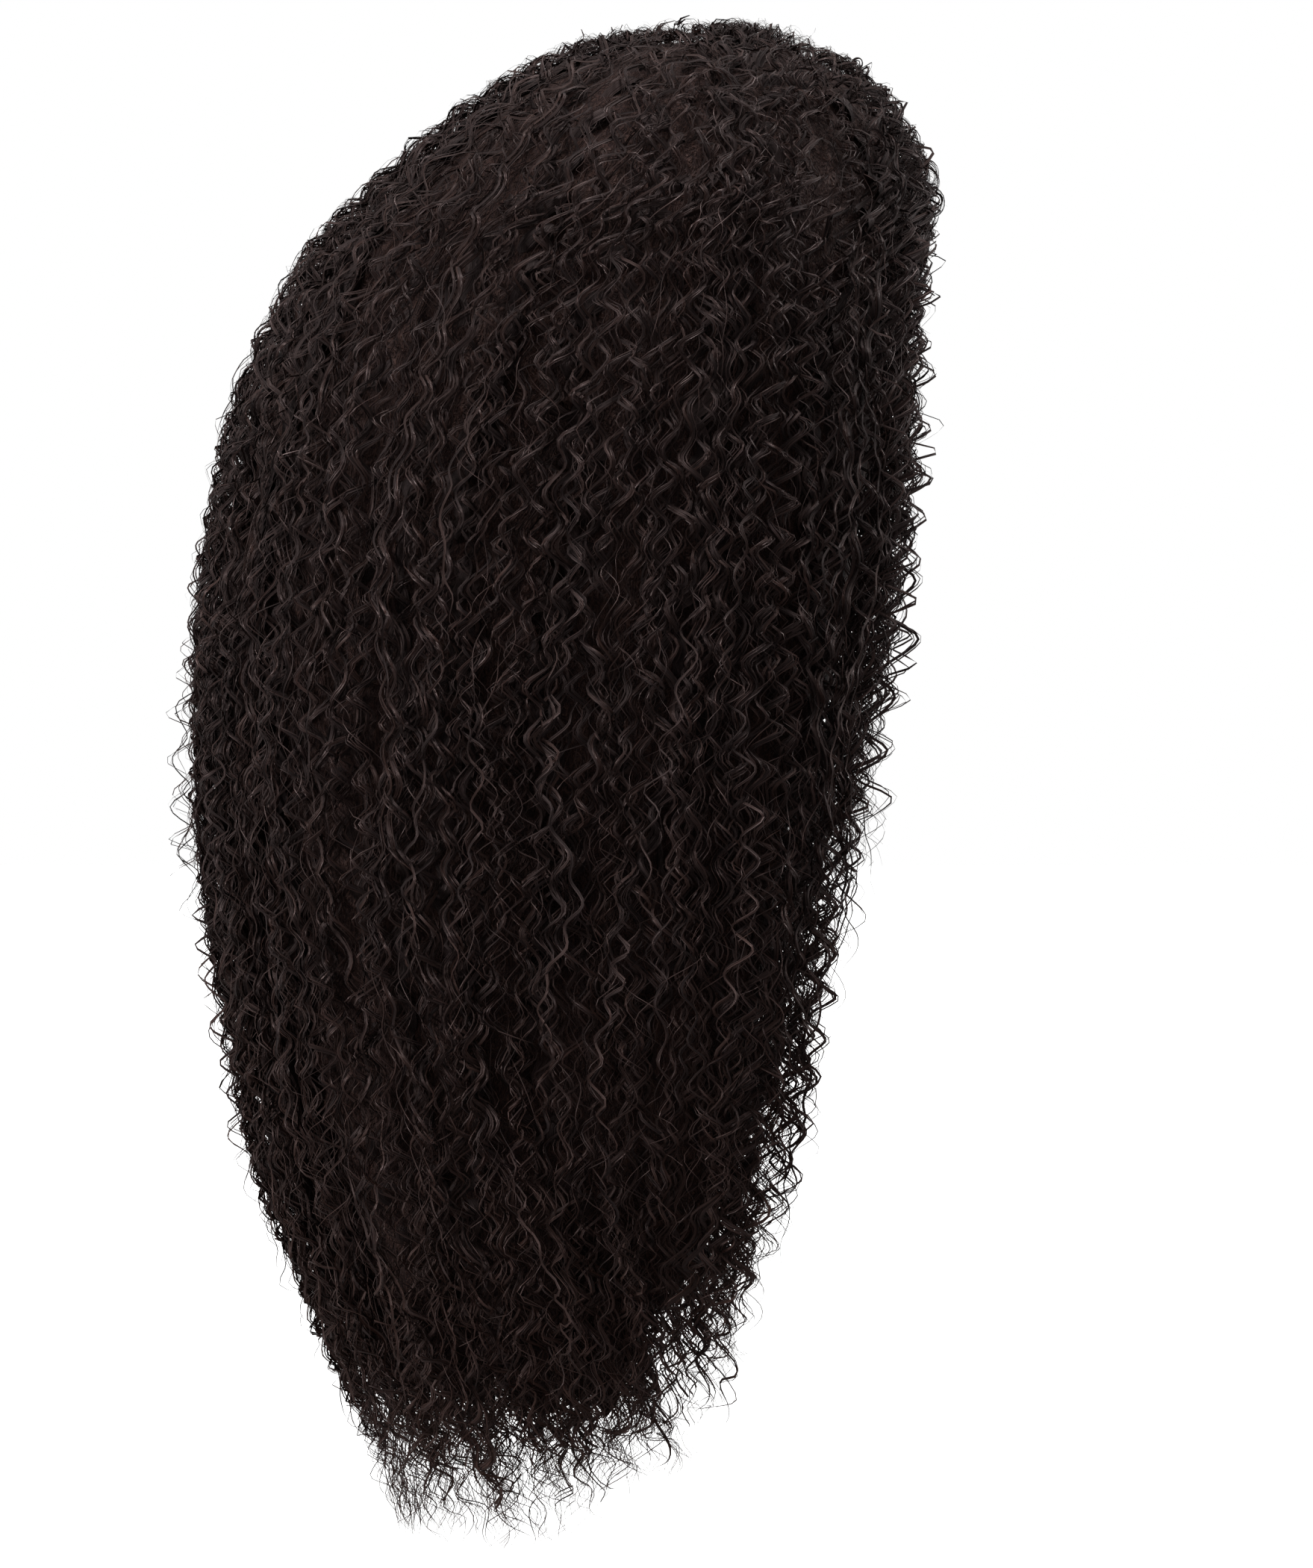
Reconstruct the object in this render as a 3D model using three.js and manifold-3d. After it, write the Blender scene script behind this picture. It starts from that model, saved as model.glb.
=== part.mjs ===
// A curly half wig: a stretch cap with an edge band and two combs inside it, under a deep mass of long curls.
// Millimetres, +Z up, the face opening looks along -Y. The origin is the crown of the head, inside the cap.
import * as THREE from "three";
import { mergeVertices } from "three/addons/utils/BufferGeometryUtils.js";
import Module from "manifold-3d";

const wasm = await Module();
wasm.setup();

const PIECE_GAP = 0.3; // clear space between neighbouring pieces
const WELD = 1e-4; // points closer than this are one point

// The head that the cap is cut for, measured from the upright axis through its crown
const HEAD_HALF_BREADTH = 75;
const HEAD_BACK = 93;
const HEAD_FRONT = 92;
const HEAD_RISE = 68; // from the widest level up to the crown
const HEAD_FALL = 110; // the longer half ellipse that narrows towards the nape

// Cap, with the same spokes and rows as the inside of the hair, so that the two stay parallel
const CAP_WALL = 1.5;
const CAP_ROWS = 8;
const HALF_SPOKES = 16;
const HAIR_SEAT = 0.5; // between the cap and the hair
const HAIR_LAP = 4; // how far the hair reaches into the head before the room for the cap is cut
const CAP_ROOM = 25; // depth of that room into the head
const CAP_SKIRT = 45; // and how far it goes on below the cap edge, for the forehead and the nape

// Cap edge round half the head: degrees from the nape, and how far the edge lies below the crown
const CAP_EDGE = [
  { azimuth: 0, drop: 148 },
  { azimuth: 60, drop: 126 },
  { azimuth: 95, drop: 100 },
  { azimuth: 125, drop: 80 },
  { azimuth: 155, drop: 46 },
  { azimuth: 180, drop: 24 },
];

// Band sewn round the inside of the cap edge
const BAND_WIDTH = 12;
const BAND_WALL = 1.2;

// Comb sewn to the band, once at the forehead and once at the nape
const COMB_TEETH = 9;
const COMB_PITCH = 4;
const COMB_SPINE = 4.5;
const COMB_WALL = 1.2;
const COMB_INSET = 2; // from the cap edge to the spine
const COMB_SEAT = 1; // clear of the band's flats, which lie inside its true curve
const TOOTH_LENGTH = 15;
const TOOTH_ROOT = 1.8;
const TOOTH_TIP = 1;

// Outer form of the hair from the crown to the tips: how far each level reaches behind, before and beside the
// axis, and how many degrees round from the back it comes. Below the hairline it stays open for the face.
const HAIR_LEVELS = [
  { z: 40, back: 0, front: 0, side: 0, round: 180 },
  { z: 38.5, back: 24, front: 20, side: 22, round: 180 },
  { z: 34, back: 46, front: 38, side: 42, round: 180 },
  { z: 27, back: 65, front: 52, side: 59, round: 180 },
  { z: 17, back: 83, front: 64, side: 75, round: 180 },
  { z: 6, back: 99, front: 73, side: 87, round: 180 },
  { z: -5, back: 113, front: 79, side: 97, round: 180 },
  { z: -17, back: 127, front: 84, side: 105, round: 180 },
  { z: -28, back: 138, front: 86, side: 111, round: 180 },
  { z: -45, back: 155, front: 89, side: 117, round: 163 },
  { z: -70, back: 169, front: 93, side: 122, round: 155 },
  { z: -100, back: 182, front: 95, side: 127, round: 151 },
  { z: -135, back: 190, front: 96, side: 131, round: 147 },
  { z: -175, back: 196, front: 95, side: 134, round: 143 },
  { z: -215, back: 198, front: 93, side: 135, round: 139 },
  { z: -260, back: 197, front: 90, side: 135, round: 135 },
  { z: -305, back: 192, front: 87, side: 133, round: 127 },
  { z: -350, back: 184, front: 84, side: 129, round: 118 },
  { z: -395, back: 175, front: 80, side: 122, round: 110 },
  { z: -435, back: 159, front: 75, side: 112, round: 101 },
  { z: -468, back: 145, front: 70, side: 98, round: 91 },
  { z: -498, back: 124, front: 60, side: 77, round: 82 },
  { z: -522, back: 92, front: 45, side: 48, round: 65 },
];
const HAIRLINE_ROW = 8; // last level that is closed in front
const HEM_ROW = 20; // last level of the backing, where only the tips of the locks go on

// Hollow for the neck, from the level of the forehead down to the hem
const HOLLOW_LEVELS = [
  { z: -24, back: 97, front: 88, side: 78 },
  { z: -100, back: 100, front: 84, side: 79 },
  { z: -175, back: 113, front: 80, side: 82 },
  { z: -260, back: 120, front: 77, side: 84 },
  { z: -350, back: 116, front: 72, side: 82 },
  { z: -468, back: 98, front: 58, side: 66 },
];

// Locks: strips that lie side by side on the backing and wave on the way down
const HALF_LOCKS = 9;
const LOCK_STEPS = 22;
const LOCK_RISE = 10; // crest of a lock above the backing
const LOCK_DEPTH = 6; // foot of a lock inside the backing
const LOCK_LAP = 1.3; // width of a lock's foot, as a share of the space that it has
const CREST_SHARE = 0.4; // flat width of the crest, as a share of the lock's width
const CROWN_ROWS = 2; // rows over which the backing drops from the crown to the feet of the locks
const LOCK_FIRST_ROW = 0.5;
const LOCK_LAST_ROW = 21.3;
const LOCK_LAST_SPREAD = 0.7; // rows by which the tips differ
const TIP_SHARE = 0.1; // part of a lock's length that narrows to its tip
const TIP_BLUNT = 0.04; // how much further it would go to a point
const WAVE_LENGTH = 105;
const WAVE_SHARE = 0.2; // sway to each side, as a share of the lock's width
const HALF_OVERLAP = 0.5; // by which the two halves of the backing run into each other
const SWAY_FROM = new THREE.Vector3(0, 40, -60); // inside the hair, the point that outward is measured from

// A function that reads a table's columns on a smooth curve through its rows, at a place along its first column.
function curveOf(rows, columns, places) {
  const values = rows.flatMap((row) => columns.map((column) => row[column]));
  const curve = new THREE.CubicInterpolant(places, values, columns.length, []);
  curve.settings = { endingStart: THREE.ZeroSlopeEnding, endingEnd: THREE.ZeroCurvatureEnding };
  return (place) => {
    const found = curve.evaluate(place);
    return Object.fromEntries(columns.map((column, i) => [column, found[i]]));
  };
}

const hairAtRow = curveOf(HAIR_LEVELS, ["z", "back", "front", "side", "round"], [...HAIR_LEVELS.keys()]);
const roundAtDrop = curveOf(HAIR_LEVELS, ["round"], HAIR_LEVELS.map((row) => -row.z));
const hollowAtDrop = curveOf(HOLLOW_LEVELS, ["back", "front", "side"], HOLLOW_LEVELS.map((row) => -row.z));
const edgeAtAzimuth = curveOf(CAP_EDGE, ["drop"], CAP_EDGE.map((row) => row.azimuth));

// Point of a level whose back, front and side are given, at an azimuth in radians from the back.
function onLevel(level, azimuth, z) {
  const reach = Math.cos(azimuth) > 0 ? level.back : level.front;
  return new THREE.Vector3(level.side * Math.sin(azimuth), reach * Math.cos(azimuth), z);
}

// Point on the head grown by an offset: polar is 0 at the crown and a right angle at the widest level.
function onHead(azimuth, polar, offset) {
  const level = {
    back: (HEAD_BACK + offset) * Math.sin(polar),
    front: (HEAD_FRONT + offset) * Math.sin(polar),
    side: (HEAD_HALF_BREADTH + offset) * Math.sin(polar),
  };
  const half = (polar < Math.PI / 2 ? HEAD_RISE : HEAD_FALL) + offset;
  return onLevel(level, azimuth, half * Math.cos(polar) - HEAD_RISE);
}

// Polar angle of the cap edge, for an azimuth to either side.
function edgePolar(azimuth) {
  const turned = Math.abs(THREE.MathUtils.euclideanModulo(azimuth + Math.PI, 2 * Math.PI) - Math.PI);
  const { drop } = edgeAtAzimuth(THREE.MathUtils.radToDeg(turned));
  if (drop < HEAD_RISE) return Math.acos(1 - drop / HEAD_RISE);
  return Math.PI / 2 + Math.asin((drop - HEAD_RISE) / HEAD_FALL);
}

// Polar angle of a row of the cap: the last row is its edge, and the row before it the top of the band.
function rowPolar(azimuth, row) {
  const edge = edgePolar(azimuth);
  const bandTop = edge - BAND_WIDTH / HEAD_RISE;
  return row === CAP_ROWS ? edge : (bandTop * row) / (CAP_ROWS - 1);
}

// The geometry with coinciding points made one, and without the faces that this closes up.
function welded(geometry) {
  const whole = mergeVertices(geometry, WELD);
  const corners = whole.index.array;
  const kept = [];
  for (let i = 0; i < corners.length; i += 3) {
    const [a, b, c] = corners.slice(i, i + 3);
    if (a !== b && b !== c && c !== a) kept.push(a, b, c);
  }
  return whole.setIndex(kept);
}

// A closed skin over equal loops of points. Point i of a loop lies across from point n-1-i, and the two end
// loops are filled across in that way. A ring has no ends: its last loop runs on into its first. Each four-sided
// face is split along its shorter diagonal, so that two skins face to face are split alike.
function skin(loops, ring = false) {
  const size = loops[0].length;
  const points = loops.flat();
  const index = [];
  const quad = (a, b, c, d) => {
    const short = points[a].distanceToSquared(points[c]) < points[b].distanceToSquared(points[d]);
    index.push(...(short ? [a, b, c, a, c, d] : [a, b, d, b, c, d]));
  };
  const spans = ring ? loops.length : loops.length - 1;
  for (let i = 0; i < spans; i++) {
    const here = i * size;
    const next = ((i + 1) % loops.length) * size;
    for (let k = 0; k < size; k++) {
      const after = (k + 1) % size;
      quad(here + k, next + k, next + after, here + after);
    }
  }
  const end = (loops.length - 1) * size;
  for (let k = 0; !ring && k < Math.floor(size / 2); k++) {
    const across = size - 1 - k;
    quad(k, k + 1, across - 1, across);
    quad(end + k, end + across, end + across - 1, end + k + 1);
  }
  return welded(new THREE.BufferGeometry().setFromPoints(points).setIndex(index));
}

// A geometry as a solid that can be joined to others.
function solidOf(geometry) {
  const vertProperties = new Float32Array(geometry.attributes.position.array);
  const triVerts = new Uint32Array(geometry.index.array);
  return new wasm.Manifold(new wasm.Mesh({ numProp: 3, vertProperties, triVerts }));
}

// The geometry of a solid.
function geometryOf(solid) {
  const { vertProperties, triVerts } = solid.getMesh();
  return new THREE.BufferGeometry()
    .setAttribute("position", new THREE.BufferAttribute(vertProperties, 3))
    .setIndex(new THREE.BufferAttribute(triVerts, 1));
}

// The wearer's left copy of a right geometry, or the other way about, facing out again.
function mirrored(geometry) {
  const other = geometry.clone().scale(-1, 1, 1);
  return other.setIndex([...geometry.index.array].reverse());
}

// Wall over the head down to the cap edge, and on by a skirt: a loop runs down the outside and back up the inside.
function domeGeometry(inside, outside, skirt = 0) {
  const loops = [];
  for (let i = 0; i < 2 * HALF_SPOKES; i++) {
    const azimuth = (i / HALF_SPOKES) * Math.PI;
    const polars = Array.from({ length: CAP_ROWS + 1 }, (_, row) => rowPolar(azimuth, row));
    if (skirt > 0) polars.push(polars.at(-1) + skirt / HEAD_RISE);
    const down = (offset) => polars.map((polar) => onHead(azimuth, polar, offset));
    loops.push([...down(outside), ...down(inside).reverse()]);
  }
  return skin(loops, true);
}

// Flat band just inside the cap wall, level with its edge.
function bandGeometry() {
  const loops = [];
  const outside = -PIECE_GAP;
  const inside = outside - BAND_WALL;
  for (let i = 0; i < 2 * HALF_SPOKES; i++) {
    const azimuth = (i / HALF_SPOKES) * Math.PI;
    const low = rowPolar(azimuth, CAP_ROWS);
    const high = rowPolar(azimuth, CAP_ROWS - 1);
    loops.push([
      onHead(azimuth, high, outside),
      onHead(azimuth, low, outside),
      onHead(azimuth, low, inside),
      onHead(azimuth, high, inside),
    ]);
  }
  return skin(loops, true);
}

// Comb drawn flat, teeth up, then bent round the inside of the band at one azimuth of the cap edge.
function combGeometry(azimuth) {
  const halfLength = (COMB_TEETH * COMB_PITCH) / 2;
  const outline = new THREE.Shape();
  outline.moveTo(-halfLength, 0);
  for (let i = 1; i <= COMB_TEETH; i++) outline.lineTo(-halfLength + i * COMB_PITCH, 0);
  outline.lineTo(halfLength, COMB_SPINE);
  for (let i = COMB_TEETH - 1; i >= 0; i--) {
    const middle = -halfLength + (i + 0.5) * COMB_PITCH;
    outline.lineTo(middle + TOOTH_ROOT / 2, COMB_SPINE);
    outline.lineTo(middle + TOOTH_TIP / 2, COMB_SPINE + TOOTH_LENGTH);
    outline.lineTo(middle - TOOTH_TIP / 2, COMB_SPINE + TOOTH_LENGTH);
    outline.lineTo(middle - TOOTH_ROOT / 2, COMB_SPINE);
  }
  outline.lineTo(-halfLength, COMB_SPINE);
  const comb = new THREE.ExtrudeGeometry(outline, { depth: COMB_WALL, bevelEnabled: false });
  comb.deleteAttribute("normal");
  comb.deleteAttribute("uv");

  const low = edgePolar(azimuth);
  const place = onHead(azimuth, low, 0);
  const lengthPerTurn = HEAD_HALF_BREADTH * Math.sin(low);
  const heightPerTurn = place.distanceTo(onHead(azimuth, low - 0.01, 0)) / 0.01;
  const seat = PIECE_GAP + BAND_WALL + COMB_SEAT;
  const points = comb.attributes.position;
  for (let i = 0; i < points.count; i++) {
    const along = azimuth + points.getX(i) / lengthPerTurn;
    const up = low - (COMB_INSET + points.getY(i)) / heightPerTurn;
    const bent = onHead(along, up, -seat - points.getZ(i));
    points.setXYZ(i, bent.x, bent.y, bent.z);
  }
  return welded(comb);
}

// Way out of the hair at a point: level on the lengths, and turning up over the crown.
function outwardAt(point) {
  const from = SWAY_FROM.clone().setZ(Math.min(point.z, SWAY_FROM.z));
  return point.clone().sub(from).normalize();
}

// Point on the outer form: share is 0 at the back and 1 at the face opening, row is a place in the levels.
function onHair(share, row, lift = 0) {
  const level = hairAtRow(row);
  const point = onLevel(level, THREE.MathUtils.degToRad(share * level.round), level.z);
  return point.addScaledVector(outwardAt(point), lift);
}

// Inside of the hair: a little way into the head down to the cap edge, where the room for the cap is cut out of
// it later, then down the hollow for the neck to the hem.
function onHollow(share, row) {
  const spoke = share * Math.PI;
  if (row <= CAP_ROWS) return onHead(spoke, rowPolar(spoke, row), -HAIR_LAP);
  const edge = onHead(spoke, edgePolar(spoke), 0).z;
  const fall = (row - CAP_ROWS) / (HEM_ROW - CAP_ROWS);
  const z = THREE.MathUtils.lerp(edge, HAIR_LEVELS[HEM_ROW].z, fall);
  const azimuth = THREE.MathUtils.degToRad(share * roundAtDrop(-z).round);
  return onLevel(hollowAtDrop(-z), azimuth, z);
}

// Half of the backing: a loop runs down the outside and back up the hollow. Where the halves meet, at the
// crown, down the back and above the hairline, it reaches a little way into the other half.
function backingGeometry() {
  const loops = [];
  for (let i = 0; i <= HALF_SPOKES; i++) {
    const share = i / HALF_SPOKES;
    const meets = (row) => row === 0 || i === 0 || (i === HALF_SPOKES && row <= HAIRLINE_ROW);
    const down = (pointAt) =>
      Array.from({ length: HEM_ROW + 1 }, (_, row) => {
        const point = pointAt(row);
        return meets(row) ? point.setX(-HALF_OVERLAP) : point;
      });
    const outside = down((row) => onHair(share, row, -LOCK_RISE * Math.min(1, row / CROWN_ROWS)));
    const inside = down((row) => onHollow(share, row));
    loops.push([...outside, ...inside.reverse()]);
  }
  return skin(loops);
}

// One lock of a half, from the crown to its tip, as wide as its share of the way round.
function lockGeometry(number, seed) {
  const share = (number + 0.5) / HALF_LOCKS;
  const phase = THREE.MathUtils.seededRandom(seed) * 2 * Math.PI;
  const lastRow = LOCK_LAST_ROW + LOCK_LAST_SPREAD * THREE.MathUtils.seededRandom(seed + 1);
  const loops = [];
  let length = 0;
  let before = onHair(share, LOCK_FIRST_ROW);
  for (let step = 0; step <= LOCK_STEPS; step++) {
    const way = step / LOCK_STEPS;
    const row = THREE.MathUtils.lerp(LOCK_FIRST_ROW, lastRow, way);
    const middle = onHair(share, row);
    length += middle.distanceTo(before);
    before = middle;
    const left = onHair(share - 0.5 / HALF_LOCKS, row);
    const right = onHair(share + 0.5 / HALF_LOCKS, row);
    const across = right.clone().sub(left);
    const taper = THREE.MathUtils.smoothstep(1 - way, -TIP_BLUNT, TIP_SHARE);
    const width = across.length();
    const half = 0.5 * LOCK_LAP * width * taper;
    const out = outwardAt(middle);
    across.normalize();
    const sway = WAVE_SHARE * width * Math.sin((2 * Math.PI * length) / WAVE_LENGTH + phase);
    const at = (aside, rise) =>
      middle.clone().addScaledVector(across, sway + aside * half).addScaledVector(out, rise);
    const foot = -LOCK_RISE - LOCK_DEPTH * taper;
    loops.push([at(1, foot), at(CREST_SHARE, 0), at(-CREST_SHARE, 0), at(-1, foot)]);
  }
  return skin(loops);
}

// The whole mass of hair: two halves of backing and their locks, fused and then cut clear of the cap.
function hairGeometry() {
  const right = backingGeometry();
  const solids = [solidOf(right), solidOf(mirrored(right))];
  for (let number = 0; number < HALF_LOCKS; number++) {
    solids.push(solidOf(lockGeometry(number, 11 + 7 * number)));
    solids.push(solidOf(mirrored(lockGeometry(number, 301 + 7 * number))));
  }
  const room = solidOf(domeGeometry(-CAP_ROOM, CAP_WALL + HAIR_SEAT, CAP_SKIRT));
  return geometryOf(solids.reduce((whole, next) => whole.add(next)).subtract(room));
}

const part = new THREE.Group();
part.name = "curly_half_wig";

function addPiece(name, geometry, color, roughness, metalness) {
  const piece = new THREE.Mesh(geometry, new THREE.MeshStandardMaterial({ color, roughness, metalness }));
  piece.name = name;
  part.add(piece);
}

addPiece("cap", domeGeometry(0, CAP_WALL), "#1d1817", 0.9, 0);
addPiece("edge_band", bandGeometry(), "#161213", 0.75, 0);
addPiece("front_comb", combGeometry(Math.PI), "#241a17", 0.35, 0);
addPiece("nape_comb", combGeometry(0), "#241a17", 0.35, 0);
addPiece("hair", hairGeometry(), "#2b201e", 0.55, 0);

export default part;
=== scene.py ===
"""Curly half wig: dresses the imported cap, band, combs and hair with curls, finishes and a pale stage."""

import math
from collections import namedtuple

import bmesh
import bpy
import numpy as np
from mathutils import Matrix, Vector


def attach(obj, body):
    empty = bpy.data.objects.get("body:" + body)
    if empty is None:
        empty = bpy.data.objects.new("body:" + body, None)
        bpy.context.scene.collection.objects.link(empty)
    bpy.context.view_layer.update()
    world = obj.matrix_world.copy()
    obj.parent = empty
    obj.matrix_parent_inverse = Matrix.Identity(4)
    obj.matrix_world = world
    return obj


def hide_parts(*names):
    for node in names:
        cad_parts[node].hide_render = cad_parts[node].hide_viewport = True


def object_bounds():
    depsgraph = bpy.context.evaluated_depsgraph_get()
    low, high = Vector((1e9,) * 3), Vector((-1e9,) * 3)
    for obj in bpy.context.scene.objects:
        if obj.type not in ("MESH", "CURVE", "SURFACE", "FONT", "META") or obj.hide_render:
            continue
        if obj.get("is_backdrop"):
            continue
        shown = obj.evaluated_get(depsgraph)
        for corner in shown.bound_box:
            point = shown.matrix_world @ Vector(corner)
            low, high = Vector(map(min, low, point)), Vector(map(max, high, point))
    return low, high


bl_info = {
    "name": "Curly half wig",
    "version": (1, 0, 0),
    "blender": (4, 5, 0),
    "location": "View3D > Sidebar > Wig",
    "description": "Builds the curls, finishes and stage of a curly half wig around its packed solids",
    "category": "Object",
}

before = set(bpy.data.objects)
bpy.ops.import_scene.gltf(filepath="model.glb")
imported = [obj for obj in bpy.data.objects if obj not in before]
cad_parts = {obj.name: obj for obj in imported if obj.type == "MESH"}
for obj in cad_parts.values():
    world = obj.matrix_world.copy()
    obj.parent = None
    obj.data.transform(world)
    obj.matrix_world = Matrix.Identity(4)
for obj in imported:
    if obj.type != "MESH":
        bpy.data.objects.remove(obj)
CAD_LOW, CAD_HIGH = (list(corner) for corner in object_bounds())

MM = 0.001
TURN = 2 * math.pi
TINY = 1e-3

# Size of the picture, and the place of the wig's origin in it, in pixels from the left and the top.
PICTURE = (1759, 2100)
ORIGIN = (950, 178.5)

# Outer form of the hair from the crown to the tips, in millimetres and degrees: how far each level reaches
# behind, before and beside the axis, and how far round from the back it comes before the face opening.
Level = namedtuple("Level", "height back front side round")
LEVELS = (
    Level(40, 0, 0, 0, 180),
    Level(38.5, 24, 20, 22, 180),
    Level(34, 46, 38, 42, 180),
    Level(27, 65, 52, 59, 180),
    Level(17, 83, 64, 75, 180),
    Level(6, 99, 73, 87, 180),
    Level(-5, 113, 79, 97, 180),
    Level(-17, 127, 84, 105, 180),
    Level(-28, 138, 86, 111, 180),
    Level(-45, 155, 89, 117, 163),
    Level(-70, 169, 93, 122, 155),
    Level(-100, 182, 95, 127, 151),
    Level(-135, 190, 96, 131, 147),
    Level(-175, 196, 95, 134, 143),
    Level(-215, 198, 93, 135, 139),
    Level(-260, 197, 90, 135, 135),
    Level(-305, 192, 87, 133, 127),
    Level(-350, 184, 84, 129, 118),
    Level(-395, 175, 80, 122, 110),
    Level(-435, 159, 75, 112, 101),
    Level(-468, 145, 70, 98, 91),
    Level(-498, 130, 62, 82, 82),
    Level(-522, 119, 55, 70, 65),
    Level(-540, 112, 50, 62, 55),
)
HAIRLINE_ROW = 8
SHOULDER_ROW = 15
HEM_ROW = 20

# Hollow inside the hair, from its front edge down, and the cap edge round one half, from the nape.
Hollow = namedtuple("Hollow", "height back front side")
HOLLOWS = (
    Hollow(-24, 97, 88, 78),
    Hollow(-100, 100, 84, 79),
    Hollow(-175, 113, 80, 82),
    Hollow(-260, 120, 77, 84),
    Hollow(-350, 116, 72, 82),
    Hollow(-468, 98, 58, 66),
    Hollow(-525, 86, 50, 56),
)
Edge = namedtuple("Edge", "azimuth drop")
EDGES = (Edge(0, 148), Edge(60, 126), Edge(95, 100), Edge(125, 80), Edge(155, 46), Edge(180, 24))
# Half-axes of the cap's dome, and how far off it the hair's inner edge starts.
DOME = {"side": 75 * MM, "back": 93 * MM, "front": 92 * MM, "rise": 68 * MM, "fall": 110 * MM}
CAP_CLEAR = 2 * MM

# Share of the strands that are still there at a height, in millimetres: the tips thin out towards the bottom.
Thinning = namedtuple("Thinning", "height share")
THINNINGS = (
    Thinning(-300, 1.0),
    Thinning(-460, 0.97),
    Thinning(-490, 0.95),
    Thinning(-506, 0.85),
    Thinning(-520, 0.5),
    Thinning(-540, 0.0),
)

FORM = np.array(LEVELS, float) * (MM, MM, MM, MM, math.radians(1))
HOLLOW = np.array(HOLLOWS, float) * MM

# Strands follow the face opening down to the shoulder row and then hang straight, the foremost at the
# azimuth HANG. From there on the opening cuts across them: OPEN is the part of a level's strands still
# behind it.
HANG = np.radians(np.interp(-FORM[:, 0], (0.26, 0.54), (135, 122)))
GIVE = math.pi - HANG
OPEN = (math.pi - np.sqrt(np.maximum(math.pi**2 - 4 * GIVE * FORM[:, 4], 0))) / (2 * GIVE)
FORM[:, 4] = np.maximum(FORM[:, 4], HANG)


def unit(vectors):
    """Vectors divided by their own lengths."""
    return vectors / np.maximum(np.linalg.norm(vectors, axis=-1, keepdims=True), 1e-12)


def smoothstep(low, high, values):
    """Cubic step 3t^2 - 2t^3, with t going from 0 at low to 1 at high."""
    t = np.clip((values - low) / (high - low), 0, 1)
    return t * t * (3 - 2 * t)


def smooth_rows(table, place):
    """Columns of a table at fractional rows, on the Catmull-Rom curve through its rows."""
    last = len(table) - 1
    place = np.clip(np.asarray(place, float), 0, last)
    first = np.minimum(place.astype(int), last - 1)
    t = (place - first)[..., None]
    p0, p1, p2, p3 = (table[np.clip(first + step, 0, last)] for step in (-1, 0, 1, 2))
    bend = 2 * p0 - 5 * p1 + 4 * p2 - p3
    twist = 3 * p1 - p0 - 3 * p2 + p3
    return 0.5 * (2 * p1 + (p2 - p0) * t + bend * t**2 + twist * t**3)


def on_ring(side, back, front, height, azimuth):
    """Point of a level: side times the sine of the azimuth, and back or front times its cosine."""
    reach = np.where(np.cos(azimuth) > 0, back, front)
    return np.stack(np.broadcast_arrays(side * np.sin(azimuth), reach * np.cos(azimuth), height), -1)


def flow(share, turn):
    """Azimuth of a strand: half a turn times its share, less the square of the share times what the face
    opening takes from half a turn. Strands by the face bend round it and those at the back fall straight."""
    return share * (math.pi - (math.pi - turn) * np.abs(share))


def on_form(share, row):
    """Point of the outer form: share is 0 at the back and 1 or -1 at the face, row a place in the levels."""
    height, back, front, side, turn = np.moveaxis(smooth_rows(FORM, row), -1, 0)
    return on_ring(side, back, front, height, flow(share, turn))


def on_dome(azimuth, polar, offset):
    """Point on the ellipsoid of the dome grown by an offset: polar is 0 at the crown and a right angle where
    the dome is widest."""
    sine = np.sin(polar)
    half = np.where(polar < math.pi / 2, DOME["rise"], DOME["fall"]) + offset
    ring = ((DOME[name] + offset) * sine for name in ("side", "back", "front"))
    return on_ring(*ring, half * np.cos(polar) - DOME["rise"], azimuth)


def edge_polar(azimuth):
    """Polar angle of the cap edge: its drop at this azimuth, taken back to an angle on the dome."""
    table = np.array(EDGES, float)
    drop = np.interp(np.degrees(np.abs(azimuth)), table[:, 0], table[:, 1]) * MM
    above = np.arccos(np.clip(1 - drop / DOME["rise"], -1, 1))
    below = math.pi / 2 + np.arcsin(np.clip((drop - DOME["rise"]) / DOME["fall"], -1, 1))
    return np.where(drop < DOME["rise"], above, below)


def cap_edge(share, offset):
    """Point of the cap edge, on the dome grown by an offset, above which a strand of this share hangs."""
    spoke = share * math.pi
    return on_dome(spoke, edge_polar(spoke), offset)


def on_hollow(share, way):
    """Point inside the hair: way runs from 0 at the cap edge down to 1 at the hem, and a little on."""
    edge = cap_edge(share, CAP_CLEAR)
    height = edge[..., 2] + (FORM[HEM_ROW, 0] - edge[..., 2]) * way
    _, back, front, side = (np.interp(-height, -HOLLOW[:, 0], column) for column in HOLLOW.T)
    turn = np.interp(-height, -FORM[:, 0], FORM[:, 4])
    wall = on_ring(side, back, front, height, flow(share, turn))
    return edge + (wall - edge) * smoothstep(0, 0.14, way)[..., None]


# Length down the middle of each side, from the crown, for each place in the levels.
ROWS = np.linspace(0.02, len(LEVELS) - 1.02, 600)
MIDDLE = on_form(np.full_like(ROWS, 0.5), ROWS)
LENGTHS = np.concatenate(([0], np.cumsum(np.linalg.norm(np.diff(MIDDLE, axis=0), axis=1))))
ROUND = np.linspace(-1, 1, 241)
RINGS = on_form(ROUND[None, :] * 0.6, ROWS[:, None])
GIRTHS = np.linalg.norm(np.diff(RINGS, axis=1), axis=2).sum(1)
BELOW = np.interp(np.arange(SHOULDER_ROW, len(LEVELS)), ROWS, LENGTHS)


def length_at(height):
    """Length from the crown down to a height on the lengths."""
    return np.interp(-height, -MIDDLE[:, 2], LENGTHS)


def height_at(length):
    """Height of the lengths at a length from the crown."""
    return np.interp(length, LENGTHS, MIDDLE[:, 2])


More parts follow.
